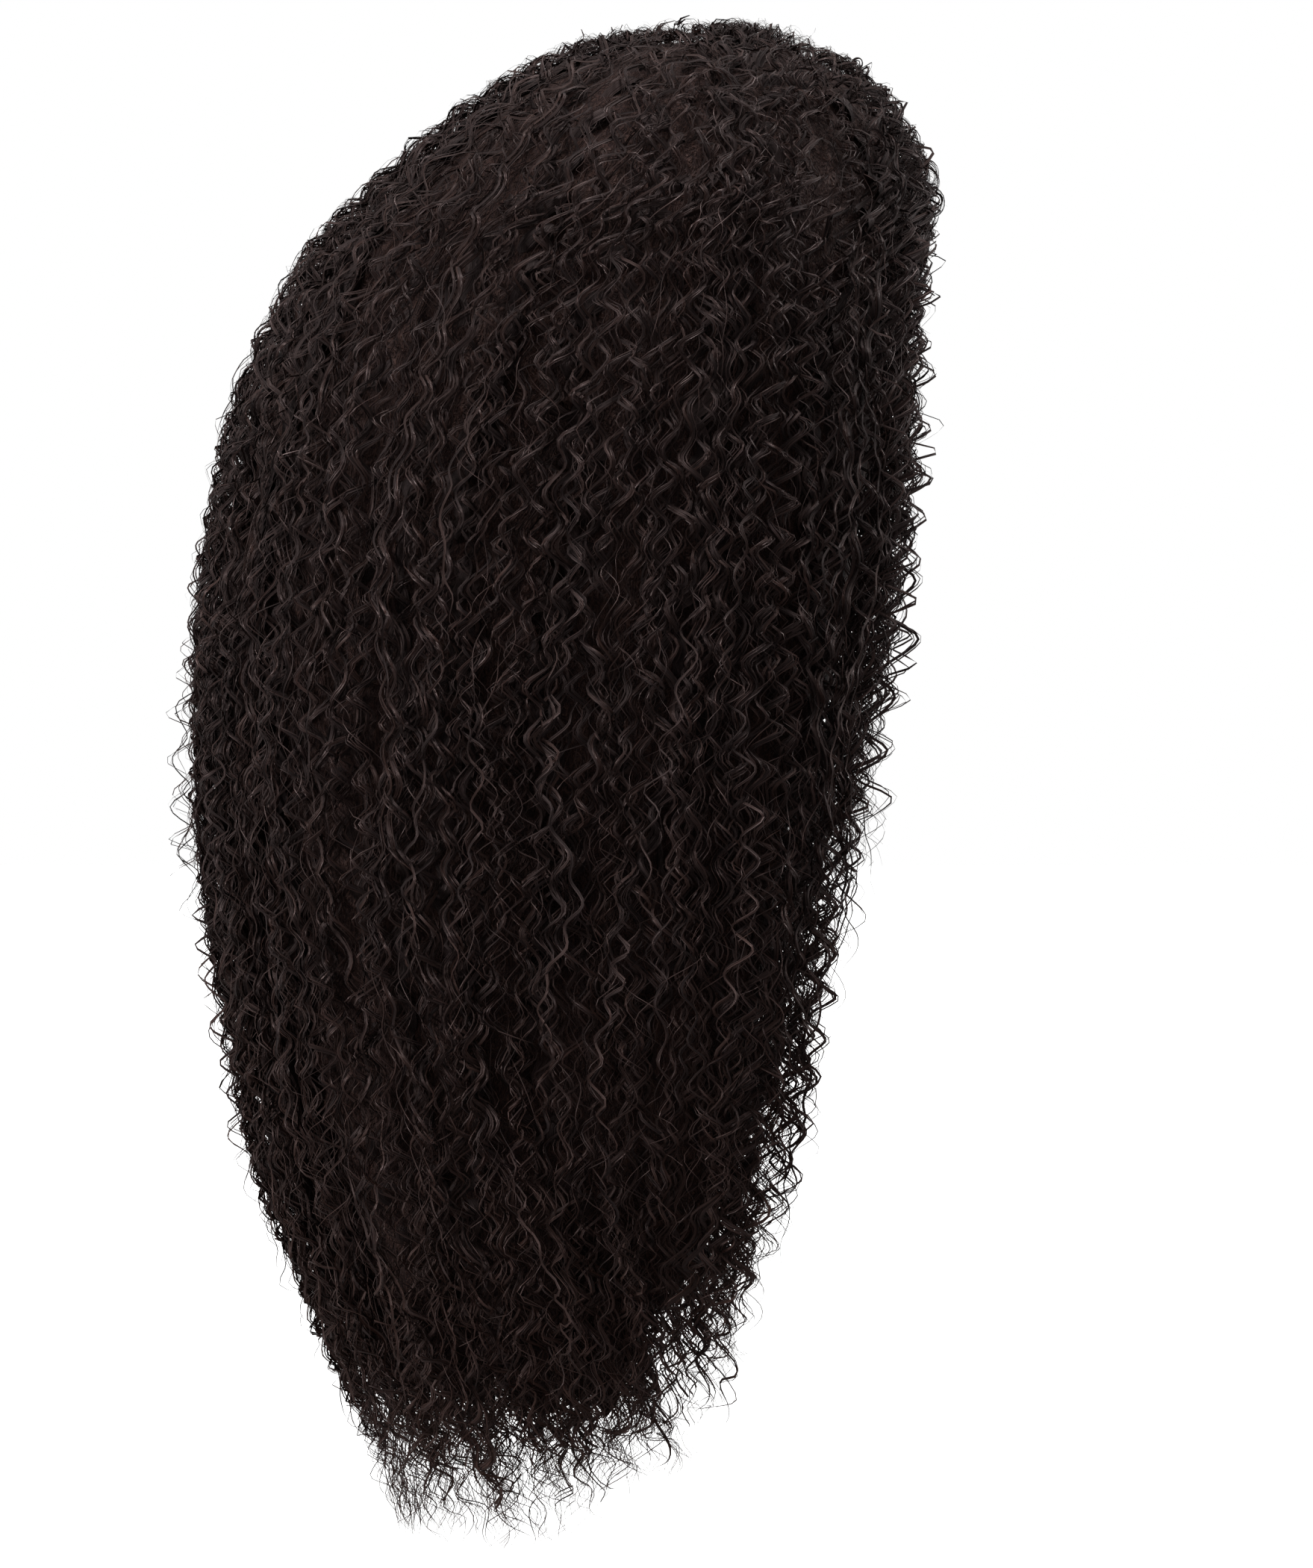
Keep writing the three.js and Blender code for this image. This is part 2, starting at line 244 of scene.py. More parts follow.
def longest(share):
    """Length at which the edge of the face opening crosses a strand that hangs at this share."""
    return np.interp(-np.abs(share), -OPEN[SHOULDER_ROW:], BELOW)


def drawn_back(share, length):
    """Share of a full lock, which stays back from the face opening below the hairline."""
    return share * (1 - 0.06 * share**4 * smoothstep(0.03, 0.08, -height_at(length)))


def room_at(points):
    """Rough depth of hair over the dome: how far the point lies out of the dome's ellipsoid."""
    x, y, z = np.moveaxis(points, -1, 0)
    z = z + DOME["rise"]
    reach = np.where(y > 0, DOME["back"], DOME["front"])
    half = np.where(z > 0, DOME["rise"], DOME["fall"])
    return (np.sqrt((x / DOME["side"]) ** 2 + (y / reach) ** 2 + (z / half) ** 2) - 1) * DOME["side"]


def directions(surface, share, place):
    """Point of a surface, its outward and its sideways direction, by central differences."""
    across = unit(surface(share + TINY, place) - surface(share - TINY, place))
    down = unit(surface(share, place + TINY) - surface(share, place - TINY))
    return surface(share, place), unit(np.cross(across, down)), across


def outside(share, length):
    """Point, outward and sideways directions on the outer form, with length measured down from the crown."""
    row = np.clip(np.interp(length, LENGTHS, ROWS), 0.15, len(LEVELS) - 1.1)
    return directions(on_form, share, row)


def inside(share, length):
    """Point, inward and sideways directions on the hollow, with length measured down from the cap edge."""
    edge = cap_edge(share, CAP_CLEAR)[..., 2]
    point, out, across = directions(on_hollow, share, length / (edge - FORM[HEM_ROW, 0]))
    return point, -out, across


# Lengths over which a wave grows from its root, a strand rises and the root's extra depth eases off, and the
# pitches over which the wave's speed and size change.
WAVE_GROWS = 8 * MM
LIFT_GROWS = 30 * MM
ROOT_EASES = 22 * MM
SPEED_PITCHES = 4.7
SIZE_PITCHES = 3.1


def waved_paths(strands, surface, count):
    """Middle lines of strands that wind down a surface.

    A strand's point is the surface point, plus sideways (aside + spread + sway + r cos a), plus outward
    (lift - depth + flat r sin (a + skew) + fold r sin 2a). The angle a grows by one turn for each pitch of
    length, hurried and slowed by a slow sine. r grows from the root and the depth eases off after it. A skew
    of a quarter turn gives a wave in one plane, and none gives a coil. A ringlet also goes round a circle of
    its loop's size, outward and downward, so many turns from its root to its tip. The crest light is one
    where the wave stands out furthest and nothing where it is deepest. It is painted light: a painted
    highlight on the outer bends of the wave and painted shade in the hollows between them. Near the crown
    the waves lie less deep, and are a little wider and flatter.
    """
    column = {name: values[:, None] for name, values in strands.items()}
    way = np.linspace(0, 1, count)[None, :]
    run = (column["end"] - column["start"]) * way
    length = column["start"] + run
    share = np.where(column["draw"] > 0, drawn_back(column["share"], length), column["share"])
    point, out, across = surface(share, length)
    slow = np.sin(TURN * length / (column["pitch"] * SPEED_PITCHES) + 2.3 * column["phase"])
    angle = TURN * length / column["pitch"] + column["phase"] + column["wander"] * slow
    uneven = 1 + 0.3 * np.sin(TURN * length / (column["pitch"] * SIZE_PITCHES) + 3.7 * column["phase"])
    radius = column["radius"] * smoothstep(0, WAVE_GROWS, run) * (1 - 0.2 * way) * uneven
    sway = column["sway"] * np.sin(TURN * length / column["sway_pitch"] + column["sway_phase"])
    crown = 1 - smoothstep(-0.035, 0.05, -point[..., 2]) if surface is outside else 0
    depth = (column["depth"] + column["root"] * np.exp(-run / ROOT_EASES)) * (1 - 0.6 * crown)
    depth = np.minimum(depth, np.maximum(0.6 * room_at(point), 1 * MM)) if surface is outside else depth
    aside = column["aside"] + column["spread"] * way**2 + sway + radius * np.cos(angle) * (1 + 0.15 * crown)
    lift = column["lift"] * smoothstep(0, LIFT_GROWS, run) - depth
    flat = column["flat"] * (1 - 0.1 * crown)
    bulge = np.sin(angle + column["skew"])
    lift = lift + radius * (flat * bulge + column["fold"] * np.sin(2 * angle))
    # Painted light: the strand's colour is lit on the outer bends of its wave and shaded between them.
    crest_light = 0.5 + 0.5 * bulge * np.sign(column["flat"])
    circle = TURN * column["turns"] * way + column["phase"]
    loop = column["loop"] * smoothstep(0, 0.3, way)
    lift = lift + loop * np.sin(circle)
    fall = loop * np.cos(circle)
    path = point + across * aside[..., None] + out * lift[..., None] + np.cross(out, across) * fall[..., None]
    roll = column["roll"] + column["twist"] * run
    return path, out, across, run, length, roll, way, crest_light


class Sheets:
    """Four-cornered faces gathered into one mesh, with named maps that hold two values for each point."""

    def __init__(self):
        self.points, self.faces, self.maps = [], [], {}
        self.total = 0

    def add(self, points, faces, **maps):
        self.points.append(points.reshape(-1, 3))
        self.faces.append(faces.reshape(-1, 4) + self.total)
        for name, values in maps.items():
            self.maps.setdefault(name, []).append(values.reshape(-1, 2))
        self.total += len(self.points[-1])

    def piece(self, name, material):
        """The gathered faces as one object that rides on the wig and stands for its hair."""
        points, faces = np.concatenate(self.points), np.concatenate(self.faces)
        mesh = bpy.data.meshes.new(name)
        mesh.from_pydata(points, [], faces.tolist())
        mesh.polygons.foreach_set("use_smooth", np.ones(len(faces), bool))
        for label, store in self.maps.items():
            layer = mesh.uv_layers.new(name=label)
            layer.uv.foreach_set("vector", np.concatenate(store)[faces.ravel()].astype(np.float32).ravel())
        mesh.update()
        mesh.materials.append(material)
        piece = bpy.data.objects.new(name, mesh)
        bpy.context.scene.collection.objects.link(piece)
        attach(piece, "root")
        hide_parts("hair")
        return piece


def weld(mesh):
    """Joins points that lie together, so that seams and poles are closed."""
    solid = bmesh.new()
    solid.from_mesh(mesh)
    bmesh.ops.remove_doubles(solid, verts=solid.verts, dist=1e-6)
    solid.to_mesh(mesh)
    solid.free()


def picked(strands, index):
    """Some of the strands, or copies of them."""
    return {name: values[index] for name, values in strands.items()}


def joined(*groups):
    """Groups of strands as one."""
    return {name: np.concatenate([group[name] for group in groups]) for name in groups[0]}


def spread_over(shape, *columns):
    """Columns spread over a grid of points, side by side on the last axis."""
    return np.stack([np.broadcast_to(column, shape) for column in columns], -1)


# Strands made at one time, and the millimetres within which the streaks of each start.
GROUP = 24
STREAK_RANGE = 900

# Length over which a ribbon widens from its root, and the painted light on a strand's tone: the part left
# between the wave crests as painted shade, and the painted highlight that the outer bend of a wave adds.
ROOT_WIDENS = 15 * MM
LIT_LOW, LIT_RISE = 0.12, 1.9

# How many times taller than wide the cells of the bake map are, and the margins inside them.
TALL_CELLS = 30
SIDE_MARGIN, END_MARGIN = 0.1, 0.02


def bake_cells(count):
    """Corner and size of a cell of the unit square for each strand, in rows of tall narrow cells."""
    bands = max(1, round(math.sqrt(count / TALL_CELLS)))
    columns = math.ceil(count / bands)
    number = np.arange(count)
    corner = np.stack((number % columns / columns, number // columns / bands), -1)
    return corner, np.array((1 / columns, 1 / bands))


def ribbons(strands, surface, step, profile, seed):
    """Ribbons along waved paths: a profile of points across, carried along each path, narrow at both ends.

    A point is the path point, plus across the ribbon x times its width, plus off its face y times its width.
    The Fibre map holds millimetres across and along. The Strand map holds the strand's tone with painted
    light on it, a painted highlight on the crests of its wave and painted shade between them, and how far
    down it is.
    """
    rng = np.random.default_rng(seed)
    sheets = Sheets()
    total = len(strands["share"])
    order = np.argsort(strands["end"] - strands["start"])
    corner, size = bake_cells(total)
    across_x = profile[:, 0][None, None, :]
    off_y = profile[:, 1][None, None, :]
    cell_x = (across_x + 0.5) * (1 - 2 * SIDE_MARGIN) + SIDE_MARGIN
    for group in np.array_split(np.arange(total), max(1, total // GROUP)):
        some = picked(strands, order[group])
        span = some["end"] - some["start"]
        count = max(5, int(np.max(span) / step) + 2)
        path, out, across, run, length, roll, way, crest_light = waved_paths(some, surface, count)
        tangent = unit(np.gradient(path, axis=1))
        face = out * np.cos(roll)[..., None] + across * np.sin(roll)[..., None]
        face = unit(face - tangent * np.sum(face * tangent, -1, keepdims=True))
        side = np.cross(tangent, face)
        left = span[:, None] - run
        width = some["width"][:, None] * (0.45 + 0.55 * smoothstep(0, ROOT_WIDENS, run))
        width = width * (0.15 + 0.85 * smoothstep(0, 1, left / some["tip"][:, None]))
        aside = (across_x * width[..., None])[..., None]
        off = (off_y * width[..., None])[..., None]
        points = path[:, :, None, :] + side[:, :, None, :] * aside + face[:, :, None, :] * off
        shape = points.shape[:3]
        number = np.arange(math.prod(shape)).reshape(shape)
        quads = (number[:, :-1, :-1], number[:, :-1, 1:], number[:, 1:, 1:], number[:, 1:, :-1])
        start = rng.uniform(0, STREAK_RANGE, (len(group), 1, 1))
        along = length[:, :, None] / MM
        # Painted light: the tone is lifted on the wave's outer bends and lowered in the hollows between them.
        tone = np.minimum(some["tone"][:, None] * (LIT_LOW + LIT_RISE * crest_light**3), 1)
        cell_y = END_MARGIN + (1 - 2 * END_MARGIN) * way[:, :, None]
        bake_x = corner[group, 0][:, None, None] + cell_x * size[0]
        bake_y = corner[group, 1][:, None, None] + cell_y * size[1]
        sheets.add(
            points,
            np.stack(quads, -1),
            Fibre=spread_over(shape, aside[..., 0] / MM + start, along + start),
            Strand=spread_over(shape, tone[:, :, None], along * (MM / LENGTHS[-1])),
            OFBake=spread_over(shape, bake_x, bake_y),
        )
    return sheets


FLAT = np.array(((-0.5, 0), (0.5, 0)))
ARCHED = np.array(((-0.5, -0.3), (0, 0), (0.5, -0.3)))


class Draws:
    """Random numbers, one for each of so many strands."""

    def __init__(self, rng, count):
        self.rng, self.count = rng, count

    def between(self, low, high):
        return self.rng.uniform(low, high, self.count)

    def mm(self, low, high):
        return self.between(low, high) * MM

    def about(self, size):
        """Numbers on both sides of nothing, with this deviation."""
        return self.rng.normal(0, size, self.count)

    def chance(self, part):
        """True for about this part of the strands."""
        return self.rng.random(self.count) < part

    def either(self):
        """One or minus one."""
        return self.rng.choice((-1, 1), self.count)

    def same(self, value):
        return np.full(self.count, value, float)


def even_shares(draw, reach=1.0):
    """Shares spread evenly by distance round the widest level, each moved a little at random, in no order."""
    ring = on_form(ROUND, np.full_like(ROUND, SHOULDER_ROW))
    far = np.concatenate(([0], np.cumsum(np.linalg.norm(np.diff(ring, axis=0), axis=1))))
    place = (np.arange(draw.count) + draw.between(0, 1)) / draw.count
    return draw.rng.permutation(np.interp(place * far[-1], far, ROUND) * reach)


def lock_guides(draw, hair):
    """Locks over the whole outside, so many at each level that they lie evenly from the crown to the tips."""
    upper = np.linspace(0, length_at(-0.12), 200)
    grown = np.interp(upper, LENGTHS, GIRTHS)
    grown = np.maximum.accumulate(grown / grown[-1])
    start = np.interp(draw.between(0, 1), grown, upper)
    thinning = np.array(THINNINGS)
    lower = np.linspace(length_at(THINNINGS[0].height * MM), LENGTHS[-1], 200)
    there = np.interp(-height_at(lower) / MM, -thinning[:, 0], thinning[:, 1])
    there = np.minimum.accumulate(there * np.maximum(np.interp(lower, LENGTHS, GIRTHS) / GIRTHS.max(), 0.8))
    end = np.interp(-draw.between(0, 1) * there[0], -there, lower)
    share = even_shares(draw)
    end = np.minimum(end, longest(share * draw.between(0.86, 1.04)))
    rank = np.argsort(np.argsort(share))
    handed = np.where(rank % 2 == 0, 1, -1)
    leaning = np.where(rank // 2 % 2 == 0, 1, -1)
    behind = length_at(-0.515 - 0.022 * smoothstep(0, 0.4, np.abs(share)))
    end = np.minimum(end, behind + draw.about(9) * MM)
    deepest = 7.5
    depth = draw.mm(1.5, deepest)
    return {
        "share": share,
        "draw": draw.same(1),
        "spread": draw.same(0),
        "start": start,
        "end": end,
        "depth": depth,
        "root": draw.mm(2, 8),
        "lift": draw.same(0),
        "aside": draw.same(0),
        "radius": hair.curl_radius * draw.between(0.7, 1.25),
        "flat": handed * draw.between(0.6, 1.1),
        "fold": handed * leaning * draw.between(0.0, 0.25),
        "skew": leaning * draw.between(0.05, 0.2) * TURN,
        "loop": draw.same(0),
        "turns": draw.same(0),
        "pitch": hair.curl_pitch * draw.between(0.8, 1.22),
        "phase": draw.between(0, TURN),
        "wander": draw.between(0.3, 1.1),
        "sway": draw.mm(2, 7),
        "sway_pitch": draw.mm(70, 170),
        "sway_phase": draw.between(0, TURN),
        "roll": draw.between(-0.5, 0.5),
        "twist": draw.between(-6, 6),
        "width": hair.lock_width * draw.between(0.5, 1.35),
        "tip": draw.mm(50, 110),
        # Painted shade: the deeper a lock lies under the others, the darker its tone.
        "tone": np.clip(1.1 - depth / (deepest * MM) + draw.about(0.2), 0, 1),
    }


def fibres_of(locks, each, rng, hair):
    """Bands and fine ribbons that make up each lock, side by side in an arch and nearly in step."""
    strands = picked(locks, np.repeat(np.arange(len(locks["share"])), each))
    draw = Draws(rng, len(strands["share"]))
    span = strands["end"] - strands["start"]
    part = draw.between(0.45, 1.0)
    before = span * (1 - part) * np.where(draw.chance(0.4), 0, draw.between(0.7, 1))
    place = draw.between(-1, 1)
    strands["phase"] = strands["phase"] + draw.about(0.18)
    start = strands["start"] + before
    end = start + span * part + draw.about(9) * MM
    fine = draw.chance(0.6)
    cut = ~fine & (height_at(end) < -0.38)
    end = end - np.where(cut, draw.between(0, 22), 0) * MM
    end = np.minimum(end, longest(strands["share"] * 0.93))
    strands["start"] = start
    strands["end"] = np.maximum(end, start + 20 * MM)
    strands["aside"] = 0.36 * place * strands["width"]
    strands["lift"] = strands["lift"] + (1.2 - 2.4 * place**2 + draw.about(0.3 + 0.5 * fine)) * MM
    strands["root"] = draw.same(2 * MM)
    strands["radius"] = strands["radius"] * draw.between(0.9, 1.12)
    strands["width"] = hair.fibre_width * np.where(fine, draw.between(0.3, 0.7), draw.between(0.75, 1.3))
    strands["roll"] = 0.9 * place + draw.about(0.2)
    strands["twist"] = draw.between(-4, 4)
    strands["tip"] = draw.mm(18, 55)
    tone = np.clip(strands["tone"] * 0.5 + draw.between(0, 1) ** 2.5, 0, 1)
    # Painted shade: the broader bands are painted darker, as the shaded mass of each lock, the fine ones
    # lighter.
    strands["tone"] = tone * np.where(fine, 1, 0.55)
    apart = np.minimum(2 * strands["aside"] / hair.lock_width, 1)
    strands["spread"] = strands["spread"] + apart * draw.between(0.5, 3.5) * MM
    return strands


def under_guides(draw, hair):
    """Broad locks under the fine ones, painted dark as the shade deep in the hair."""
    locks = lock_guides(draw, hair)
    share = locks["share"] * 0.86
    locks.update(
        share=share,
        depth=draw.mm(8, 12),
        end=np.minimum(np.minimum(locks["end"], longest(share * 1.25)), length_at(-0.47)),
        width=hair.lock_width * draw.between(1.0, 1.6),
        # Painted shade: the low tone darkens these deep locks.
        tone=draw.between(0, 0.3),
    )
    return locks


def fringe_guides(draw, hair):
    """Dark clumps that taper to points below the lower edge of the core."""
    locks = lock_guides(draw, hair)
    share = even_shares(draw, 0.85)
    end = np.minimum(longest(share * 1.04), length_at(-0.52)) - draw.mm(0, 40)
    locks.update(
        share=share,
        end=end,
        start=end - draw.mm(60, 100),
        depth=draw.mm(4, 20),
        radius=locks["radius"] * 1.2,
        spread=draw.about(8) * MM,
        width=hair.lock_width * draw.between(0.25, 0.5),
        tip=draw.mm(40, 65),
        tone=draw.between(0, 0.3),
    )
    return locks


def edge_guides(draw, hair):
    """Free locks along both sides of the face opening, wider waved and loose enough to see between."""
    locks = lock_guides(draw, hair)
    side = np.where(np.arange(draw.count) % 2 == 0, 1, -1)
    low = draw.chance(0.4)
    share = side * np.where(low, draw.between(0.5, 0.88), draw.between(0.89, 0.99))
    start = draw.between(0.03, 0.2)
    end = np.minimum(length_at(-draw.between(0.2, 0.31)), longest(share))
    end = np.where(low, longest(share * 0.9) + draw.about(8) * MM, end)
    locks.update(
        share=share,
        draw=draw.same(0),
        end=end,
        start=np.where(low, end - draw.mm(90, 160), start),
        depth=draw.mm(1, 10),
        flat=side * draw.between(0.9, 1.3),
        skew=draw.same(TURN / 5),
        radius=locks["radius"] * draw.between(1.1, 1.5),
        pitch=locks["pitch"] * 1.3,
        width=hair.lock_width * draw.between(0.25, 0.6),
    )
    return locks


def free_guides(draw, hair):
    """Thin locks that stand a little off the rest and show against the light along the outline."""
    locks = lock_guides(draw, hair)
    start = draw.between(0.3, 0.8) * locks["end"]
    locks.update(
        start=start,
        end=np.minimum(locks["end"], start + draw.mm(60, 190)),
        depth=draw.mm(-2, 2),
        lift=draw.mm(1, 4),
        radius=locks["radius"] * draw.between(1.0, 1.3),
        flat=draw.either() * draw.between(0.9, 1.3),
        skew=draw.same(TURN / 5),
        width=hair.lock_width * draw.between(0.15, 0.4),
    )
    return locks


def loose_hairs(draw, hair):
    """Short stray hairs all over the outside, standing a little off it and crossing the curls."""
    hairs = lock_guides(draw, hair)
    shortest = 14
    furthest = np.minimum(longest(hairs["share"]), length_at(-0.53))
    start = draw.between(0.01, 1) ** 0.7 * 0.99 * furthest
    low = draw.chance(0.1)
    start = np.where(low, furthest - draw.mm(10, 80), start)
    end = np.minimum(start + draw.mm(shortest, 52), furthest + 5 * MM)
    loose = 0.2 + 0.8 * smoothstep(0.02, 0.3, -height_at(start))
    hairs.update(
        start=start,
        end=np.maximum(end, start + shortest * MM),
        depth=draw.mm(-1.5, 4),
        root=draw.mm(2, 6),
        lift=draw.between(0, 3.5) * loose * MM,
        radius=draw.between(1.5, 6.5) * (0.4 + 0.6 * loose) * MM,
        flat=draw.either() * draw.between(0.3, 0.9),
        pitch=draw.mm(14, 34),
        sway=draw.mm(2, 9),
        sway_pitch=draw.mm(40, 120),
        width=hair.fibre_width * draw.between(0.2, 0.45),
        roll=draw.between(0, TURN),
        twist=draw.between(-40, 40),
        tip=draw.same(12 * MM),
        tone=draw.between(0.35, 1),
    )
    return hairs


def tip_guides(draw, hair):
    """Curled ends that thin out below the locks and along the lower edge of the face opening."""
    locks = lock_guides(draw, hair)
    share = draw.between(-0.95, 0.95)
    behind = length_at(-0.515 - 0.01 * smoothstep(0, 0.3, np.abs(share)))
    end = np.minimum(longest(share * draw.between(0.96, 1.1)), behind)
    end = end + draw.about(8) * MM
    locks.update(
        share=share,
        end=end,
        start=end - draw.mm(60, 120),
        depth=draw.mm(0, 24),
        radius=locks["radius"] * 1.25,
        spread=draw.about(8) * MM,
        width=hair.lock_width * draw.between(0.15, 0.55),
    )
    return locks


def crown_curls(draw, hair):
    """Short tight curls that cover the crown and the hairline, closest at the front."""
    curls = lock_guides(draw, hair)
    start = draw.between(0, 1) ** 0.6 * length_at(-0.06)
    share = draw.between(-1, 1)
    ahead = draw.chance(0.38)
    share = np.where(ahead, np.sign(share) * draw.between(0.55, 1), share)
    start = np.where(draw.chance(0.25), draw.mm(0, 14), start)
    curls.update(
        share=share,
        start=start,
        end=start + draw.mm(24, 48),
        depth=draw.mm(1, 4),
        lift=draw.mm(-1, 2),
        radius=draw.mm(2.4, 3.8),
        flat=draw.either() * draw.between(0.9, 1.2),
        pitch=draw.mm(10, 15),
        skew=draw.same(0),
        width=hair.lock_width * draw.between(0.3, 0.6),
        tip=draw.same(14 * MM),
    )
    return curls


def ringlets(draw, each, hair):
    """Ringlets that stand off the crown and the front: each ribbon goes once or twice round a circle."""
    guides = lock_guides(draw, hair)
    front = np.arange(draw.count) % 4 == 0
    share = np.where(front, draw.between(0.93, 1), draw.between(0.1, 1) ** 0.35)
    guides["share"] = draw.either() * share
    start = length_at(np.where(front, draw.mm(-22, 4), draw.mm(-30, 36)))
    guides.update(
        start=start,
        end=start + draw.mm(8, 13),
        depth=-np.where(front, draw.mm(3, 6.5), draw.mm(2, 6)),
        root=draw.mm(5, 8),
        radius=draw.same(0.3 * MM),
        loop=np.where(front, draw.mm(3, 4.4), draw.mm(2.2, 3.6)),
        turns=draw.either() * draw.between(1.1, 1.7),
        spread=draw.either() * draw.mm(2, 7),
        sway=draw.same(0),
    )
    strands = picked(guides, np.repeat(np.arange(draw.count), each))
    draw = Draws(draw.rng, draw.count * each)
    strands.update(
        aside=draw.about(0.5) * MM,
        loop=strands["loop"] * draw.between(0.72, 1.15),
        phase=strands["phase"] + draw.about(0.2),
        width=hair.fibre_width * draw.between(0.35, 0.9),
        roll=draw.between(0, TURN),
        tip=draw.same(4 * MM),
        tone=draw.between(0, 0.8),
    )
    return strands


def lining_guides(draw, hair):
    """Locks down the inside of the hollow, from the cap edge to the hem."""
    locks = lock_guides(draw, hair)
    share = even_shares(draw, 0.985)
    lowest = height_at(np.minimum(longest(share * 1.03), length_at(-0.5)))
    locks.update(
        share=share,
        start=draw.same(1 * MM),
        end=(cap_edge(share, 0.0)[:, 2] - lowest) * draw.between(0.82, 1.0),
        depth=draw.mm(1, 8),
        root=draw.same(0),
        width=hair.lock_width * draw.between(0.8, 1.5),
    )
    return locks


class Socket:
    """A shader value in an expression: an operator on it adds a Math node and gives that node's result."""

    def __init__(self, shader, socket):
        self.shader, self.socket = shader, socket

    def math(self, operation, *values):
        made = self.shader.node("ShaderNodeMath", {"operation": operation}, dict(enumerate(values)))
        return Socket(self.shader, made.outputs[0])

    def __add__(self, other):
        return self.math("ADD", self, other)

    def __sub__(self, other):
        return self.math("SUBTRACT", self, other)

    def __rsub__(self, other):
        return self.math("SUBTRACT", other, self)

    def __mul__(self, other):
        return self.math("MULTIPLY", self, other)

    def __pow__(self, other):
        return self.math("POWER", self, other)

    __radd__ = __add__

    def sine(self):
        return self.math("SINE", self)

    def within(self):
        """The value held between 0 and 1."""
        return self.math("MAXIMUM", self.math("MINIMUM", self, 1.0), 0.0)


class Shader:
    """A material's node tree: node() adds any node, with its settings first and then its inputs."""

    def __init__(self, name):
        self.material = bpy.data.materials.new(name)
        self.material.use_nodes = True
        self.tree = self.material.node_tree
        self.tree.nodes.clear()
        self.surface = self.node("ShaderNodeBsdfPrincipled", {}, {})
        output = self.node("ShaderNodeOutputMaterial", {}, {})
        self.tree.links.new(self.surface.outputs[0], output.inputs["Surface"])

    def node(self, kind, settings, inputs):
        made = self.tree.nodes.new(kind)
        for name, value in settings.items():
            setattr(made, name, value)
        for name, value in inputs.items():
            self.feed(made.inputs[name], value)
        return made

    def feed(self, target, value):
        if isinstance(value, Socket):
            self.tree.links.new(value.socket, target)
        elif isinstance(value, bpy.types.NodeSocket):
            self.tree.links.new(value, target)
        else:
            target.default_value = value

    def finish(self, **inputs):
        """Feeds the surface's own inputs, named with underscores for spaces."""
        for name, value in inputs.items():
            self.feed(self.surface.inputs[name.replace("_", " ")], value)
        return self.material

    def value(self, made, output=0):
        return Socket(self, made.outputs[output])

    def apart(self, vector):
        """The x, y and z of a vector."""
        split = self.node("ShaderNodeSeparateXYZ", {}, {"Vector": vector})
        return tuple(Socket(self, split.outputs[axis]) for axis in range(3))

    def together(self, x, y, z=0.0):
        return self.node("ShaderNodeCombineXYZ", {}, {"X": x, "Y": y, "Z": z}).outputs[0]

    def mapped(self, name):
        """The x and y of one of the piece's own maps."""
        return self.apart(self.node("ShaderNodeUVMap", {"uv_map": name}, {}).outputs[0])[:2]

    def object_place(self):
        return self.node("ShaderNodeTexCoord", {}, {}).outputs["Object"]

    def noise(self, vector, scale, detail=0.0, flat=True, bend=0.0):
        settings = {"noise_dimensions": "2D" if flat else "3D"}
        inputs = {"Vector": vector, "Scale": scale, "Detail": detail, "Distortion": bend}
        return self.value(self.node("ShaderNodeTexNoise", settings, inputs))

    def mixed(self, factor, first, second):
        """The second colour over the first, by a factor."""
        made = self.node("ShaderNodeMix", {"data_type": "RGBA"}, {0: factor, 6: first, 7: second})
        return made.outputs[2]

    def bump(self, height, distance, strength=1.0):
        inputs = {"Height": height, "Distance": distance, "Strength": strength}
        return self.node("ShaderNodeBump", {}, inputs).outputs[0]


# Colour of the light that hair gives back, and how far apart the cap's stitching and the tape's ribs and
# weave are.
SHEEN = (1.0, 0.74, 0.72, 1.0)
STITCH_ROW = 0.011
TAPE_RIB = 0.0011
TAPE_WEAVE = 0.0016


def opaque(colour):
    """A colour with full cover, as a shader takes it."""
    return (*colour, 1)


def core_finish(finish):
    """Matted fibre deep in the hair: a warped noise, drawn out downwards, colours it and raises it."""
    shader = Shader("core_fibre")
    x, y, z = shader.apart(shader.object_place())
    tangle = shader.noise(shader.together(x, y, z * 0.5), 420.0, 2.0, flat=False, bend=2.2)
    amount = ((tangle - 0.5) * 4 + 0.35).within()
    return shader.finish(
        Base_Color=shader.mixed(amount, opaque(finish.body), opaque(finish.warm)),
        Roughness=0.85 - amount * 0.3,
        Specular_IOR_Level=0.25,
        Specular_Tint=SHEEN,
        Normal=shader.bump(tangle, 3.0 * MM),
    )


def fibre_finish(name, finish, body, shade):
    """Bundles of fibre: streaks along each ribbon colour, roughen and raise it. Warmer towards the tips, a
    painted glow of light through the thin ends, and warmer in random patches.
    """
    shader = Shader(name)
    across, along = shader.mapped("Fibre")
    tone, far = shader.mapped("Strand")
    streak = shader.noise(shader.together(across * 2.2, along * 0.04), 1.0, 1.0)
    patch = shader.noise(shader.together(across * 0.2, along * 0.03), 1.0)
    amount = (tone * 0.9 + (streak - 0.5) * 2.2 + (patch - 0.5) * 0.6 + 0.05).within()
    # Partly painted light: warmer towards the tips as a painted glow through thin hair, partly random warm
    # patches.
    warm = (far**4 * 0.75 + (patch - 0.42) * 1.3).within()
    base = shader.mixed(amount, opaque(finish.deep), opaque(body))
    return shader.finish(
        Base_Color=shader.mixed(warm * shade, base, opaque(finish.warm)),
        Roughness=0.78 - amount * 0.42,
        Specular_IOR_Level=0.34,
        Specular_Tint=SHEEN,
        Normal=shader.bump(streak, 0.6 * MM, 0.8),
    )


